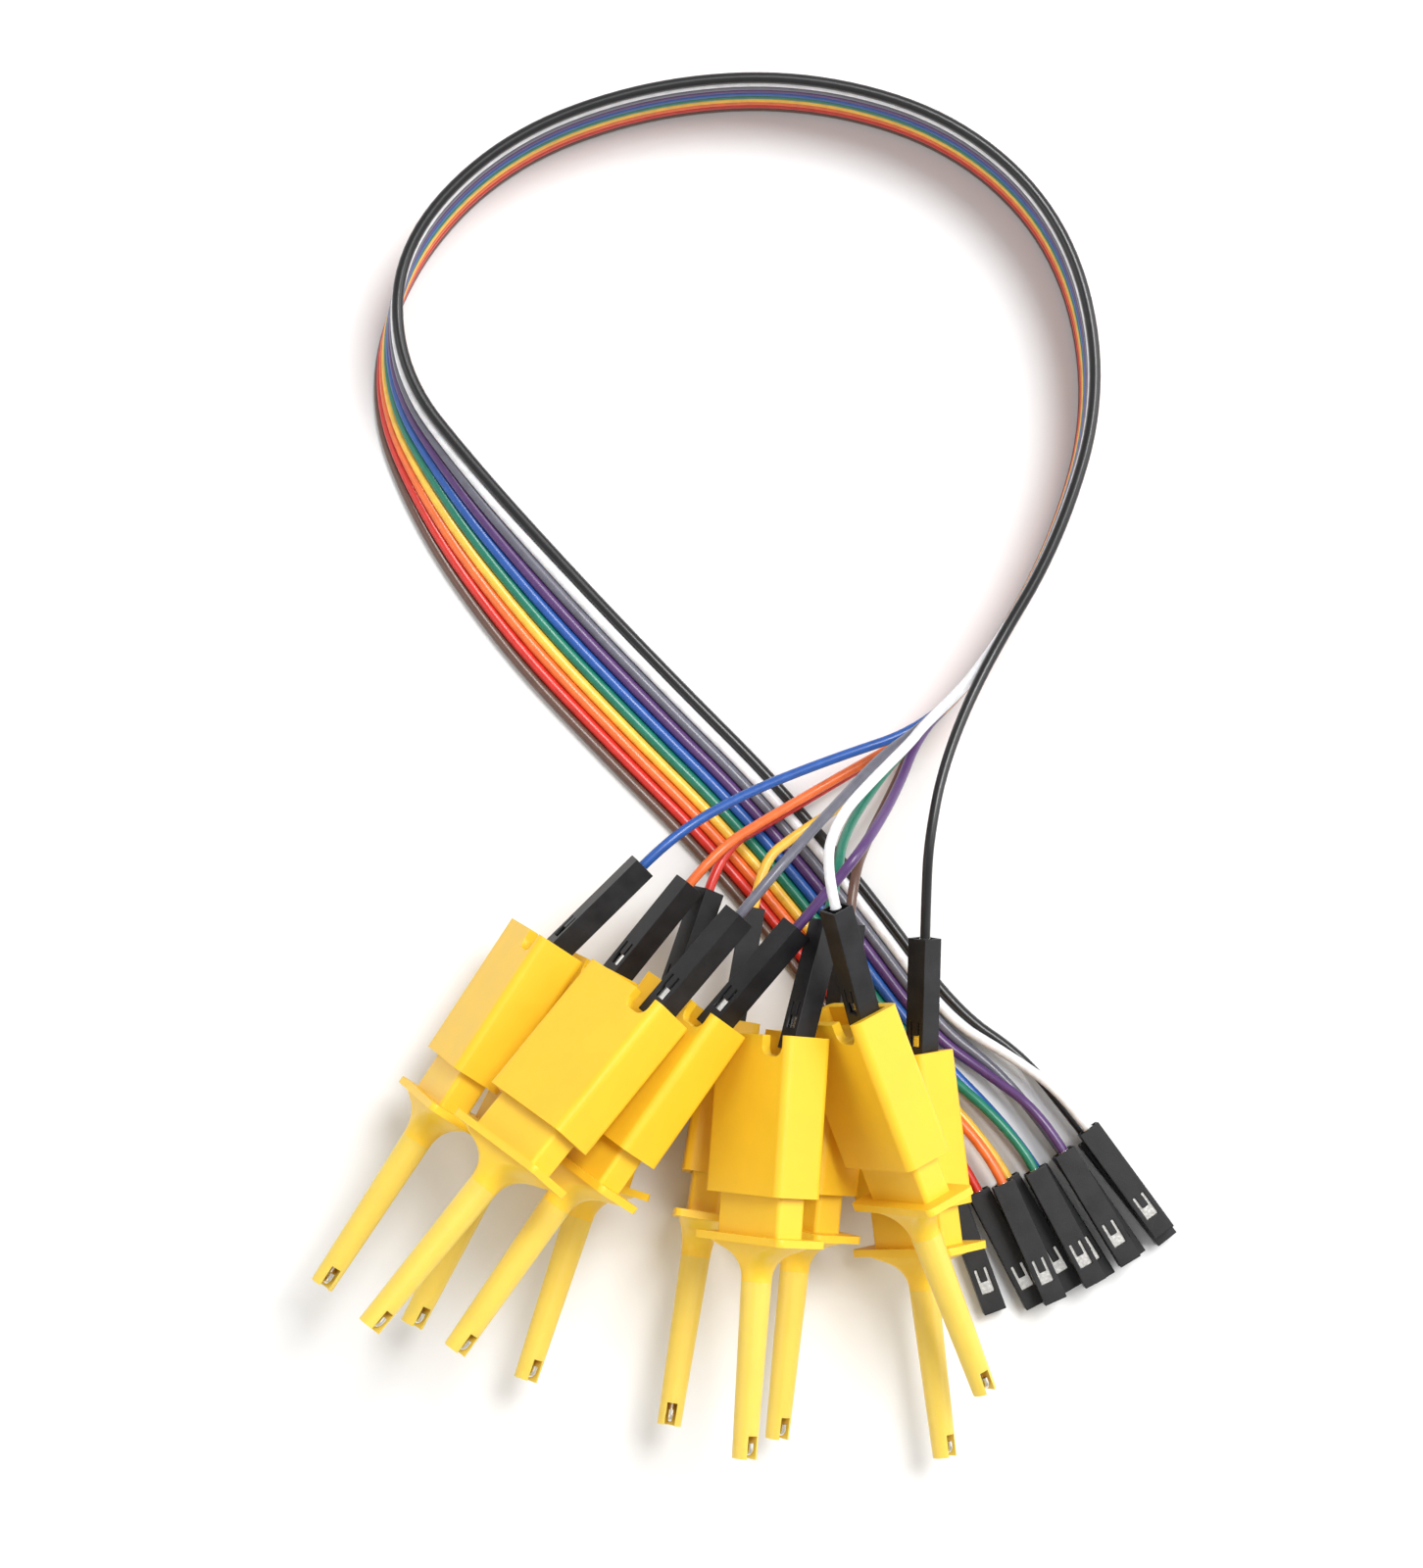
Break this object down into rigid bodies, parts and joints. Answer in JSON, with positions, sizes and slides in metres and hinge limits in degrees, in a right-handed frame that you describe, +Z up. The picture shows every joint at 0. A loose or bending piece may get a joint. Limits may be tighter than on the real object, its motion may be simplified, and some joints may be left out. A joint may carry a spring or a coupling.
{
  "type": "test clip lead set",
  "caption": "Rainbow ribbon of separate leads, each with a sprung hook test clip plugged on one end and a loose single-way socket on the other, lying in a heap.",
  "frame": {"origin": "on the surface that the set lies on, under the middle of the heap of clips", "axes": "+Z up from that surface; -Y the way that the clips' nozzles point; the ribbon's loop reaches towards +Y; the loose sockets lie at +X"},
  "size_m": [0.0939, 0.1515, 0.0358],
  "materials": {
    "clip_handle": "moulded, semi-gloss",
    "clip_nozzle": "moulded, semi-gloss, slightly see-through where thin",
    "spring_steel": "drawn wire",
    "hook_wire": "tinned",
    "socket_housing": "moulded, satin",
    "socket_contact": "tinned",
    "insulation_brown": "extruded, soft satin",
    "insulation_red": "extruded, soft satin",
    "insulation_orange": "extruded, soft satin",
    "insulation_yellow": "extruded, soft satin",
    "insulation_green": "extruded, soft satin",
    "insulation_blue": "extruded, soft satin",
    "insulation_violet": "extruded, soft satin",
    "insulation_grey": "extruded, soft satin",
    "insulation_white": "extruded, soft satin",
    "insulation_black": "extruded, soft satin"
  },
  "bodies": {
    "set": {"handle_1": "clip_handle", "spring_1": "spring_steel", "hook_1": "hook_wire", "handle_2": "clip_handle", "spring_2": "spring_steel", "hook_2": "hook_wire", "handle_3": "clip_handle", "spring_3": "spring_steel", "hook_3": "hook_wire", "handle_4": "clip_handle", "spring_4": "spring_steel", "hook_4": "hook_wire", "handle_5": "clip_handle", "spring_5": "spring_steel", "hook_5": "hook_wire", "handle_6": "clip_handle", "spring_6": "spring_steel", "hook_6": "hook_wire", "handle_7": "clip_handle", "spring_7": "spring_steel", "hook_7": "hook_wire", "handle_8": "clip_handle", "spring_8": "spring_steel", "hook_8": "hook_wire", "handle_9": "clip_handle", "spring_9": "spring_steel", "hook_9": "hook_wire", "handle_10": "clip_handle", "spring_10": "spring_steel", "hook_10": "hook_wire", "wire_brown": "insulation_brown", "wire_red": "insulation_red", "wire_orange": "insulation_orange", "wire_yellow": "insulation_yellow", "wire_green": "insulation_green", "wire_blue": "insulation_blue", "wire_violet": "insulation_violet", "wire_grey": "insulation_grey", "wire_white": "insulation_white", "wire_black": "insulation_black", "clip_sockets": "socket_housing", "loose_sockets": "socket_housing", "clip_socket_contacts": "socket_contact", "loose_socket_contacts": "socket_contact"},
    "sleeve_1": {"sleeve_1": "clip_nozzle"},
    "sleeve_2": {"sleeve_2": "clip_nozzle"},
    "sleeve_3": {"sleeve_3": "clip_nozzle"},
    "sleeve_4": {"sleeve_4": "clip_nozzle"},
    "sleeve_5": {"sleeve_5": "clip_nozzle"},
    "sleeve_6": {"sleeve_6": "clip_nozzle"},
    "sleeve_7": {"sleeve_7": "clip_nozzle"},
    "sleeve_8": {"sleeve_8": "clip_nozzle"},
    "sleeve_9": {"sleeve_9": "clip_nozzle"},
    "sleeve_10": {"sleeve_10": "clip_nozzle"}
  },
  "joints": [
    {"name": "sleeve_1_slide", "type": "slide", "parent": "set", "child": "sleeve_1", "axis": [0.5446, 0.8385, -0.0175], "range_m": [0, 0.0039], "stiffness_N_per_m": 250, "deforming": ["spring_1"]},
    {"name": "sleeve_2_slide", "type": "slide", "parent": "set", "child": "sleeve_2", "axis": [0.4539, 0.8909, -0.0175], "range_m": [0, 0.0039], "stiffness_N_per_m": 250, "deforming": ["spring_2"]},
    {"name": "sleeve_3_slide", "type": "slide", "parent": "set", "child": "sleeve_3", "axis": [0.6259, 0.7729, -0.1045], "range_m": [0, 0.0039], "stiffness_N_per_m": 250, "deforming": ["spring_3"]},
    {"name": "sleeve_4_slide", "type": "slide", "parent": "set", "child": "sleeve_4", "axis": [0.5735, 0.819, -0.0175], "range_m": [0, 0.0039], "stiffness_N_per_m": 250, "deforming": ["spring_4"]},
    {"name": "sleeve_5_slide", "type": "slide", "parent": "set", "child": "sleeve_5", "axis": [0.3086, 0.9498, -0.0523], "range_m": [0, 0.0039], "stiffness_N_per_m": 250, "deforming": ["spring_5"]},
    {"name": "sleeve_6_slide", "type": "slide", "parent": "set", "child": "sleeve_6", "axis": [0.1561, 0.9853, -0.0698], "range_m": [0, 0.0039], "stiffness_N_per_m": 250, "deforming": ["spring_6"]},
    {"name": "sleeve_7_slide", "type": "slide", "parent": "set", "child": "sleeve_7", "axis": [0.0697, 0.9974, -0.0175], "range_m": [0, 0.0039], "stiffness_N_per_m": 250, "deforming": ["spring_7"]},
    {"name": "sleeve_8_slide", "type": "slide", "parent": "set", "child": "sleeve_8", "axis": [0.1045, 0.9939, 0.0349], "range_m": [0, 0.0039], "stiffness_N_per_m": 250, "deforming": ["spring_8"]},
    {"name": "sleeve_9_slide", "type": "slide", "parent": "set", "child": "sleeve_9", "axis": [-0.3505, 0.9132, 0.2079], "range_m": [0, 0.0039], "stiffness_N_per_m": 250, "deforming": ["spring_9"]},
    {"name": "sleeve_10_slide", "type": "slide", "parent": "set", "child": "sleeve_10", "axis": [-0.1218, 0.9919, 0.0349], "range_m": [0, 0.0039], "stiffness_N_per_m": 250, "deforming": ["spring_10"]}
  ]
}
